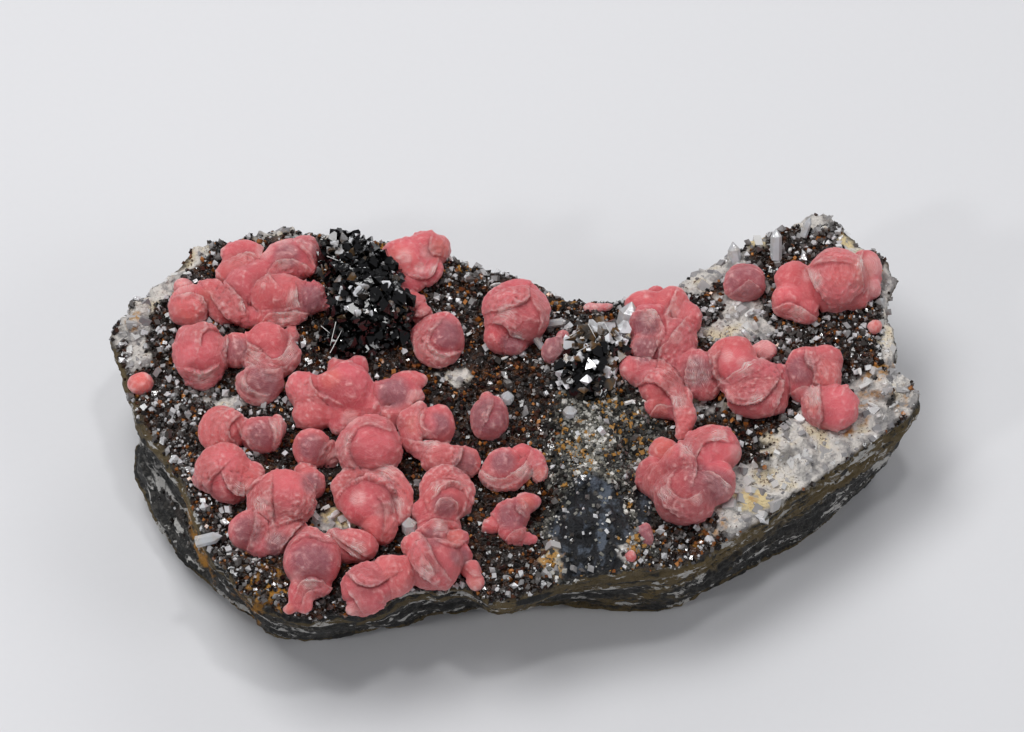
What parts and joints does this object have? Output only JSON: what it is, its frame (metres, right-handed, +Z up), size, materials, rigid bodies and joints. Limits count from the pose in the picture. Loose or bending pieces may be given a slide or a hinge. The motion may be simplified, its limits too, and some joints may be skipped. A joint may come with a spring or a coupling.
{
  "type": "smithsonite mineral specimen",
  "caption": "Pink botryoidal smithsonite rosettes with black sphalerite and small quartz crystals on a slab of quartz-veined schist.",
  "frame": {"origin": "middle of the bounding box at the level of the flat underside that the specimen rests on", "axes": "+X along the slab's length, +Y from its thicker front edge to its notched back edge, +Z up through the crystal face"},
  "size_m": [0.1206, 0.0732, 0.0282],
  "materials": {
    "matrix": "rough schist and massive quartz under a druse of small glossy brown crystals",
    "smithsonite": "waxy to vitreous, slightly translucent pink, paler along the edges of the folds",
    "sphalerite": "black crystals with bright adamantine faces",
    "quartz": "milky to clear crystals with smooth glassy faces"
  },
  "bodies": {
    "root": {"matrix": "matrix", "quartz_prism_grey": "quartz", "quartz_prism_knoll": "quartz", "quartz_prism_large": "quartz", "quartz_prism_lying": "quartz", "quartz_prism_middle": "quartz", "quartz_prism_needle": "quartz", "quartz_prism_north": "quartz", "quartz_prism_rim": "quartz", "quartz_prism_stubby": "quartz", "quartz_prism_tall": "quartz", "quartz_prism_west": "quartz", "smithsonite_bean": "smithsonite", "smithsonite_centre_bud": "smithsonite", "smithsonite_crescent": "smithsonite", "smithsonite_crown": "smithsonite", "smithsonite_drapery": "smithsonite", "smithsonite_east": "smithsonite", "smithsonite_east_bead": "smithsonite", "smithsonite_folded": "smithsonite", "smithsonite_hooded": "smithsonite", "smithsonite_middle": "smithsonite", "smithsonite_middle_ball": "smithsonite", "smithsonite_middle_bud": "smithsonite", "smithsonite_middle_east": "smithsonite", "smithsonite_middle_south": "smithsonite", "smithsonite_middle_west": "smithsonite", "smithsonite_north": "smithsonite", "smithsonite_north_disc": "smithsonite", "smithsonite_north_east": "smithsonite", "smithsonite_north_east_bud": "smithsonite", "smithsonite_north_leaf": "smithsonite", "smithsonite_north_west": "smithsonite", "smithsonite_rim_sliver": "smithsonite", "smithsonite_shell_pair": "smithsonite", "smithsonite_south": "smithsonite", "smithsonite_south_chip": "smithsonite", "smithsonite_south_east": "smithsonite", "smithsonite_south_east_bead": "smithsonite", "smithsonite_south_east_chip": "smithsonite", "smithsonite_south_rosette": "smithsonite", "smithsonite_south_west": "smithsonite", "smithsonite_west": "smithsonite", "smithsonite_west_bud": "smithsonite", "smithsonite_west_pair": "smithsonite", "sphalerite_large": "sphalerite", "sphalerite_small": "sphalerite"}
  },
  "joints": []
}
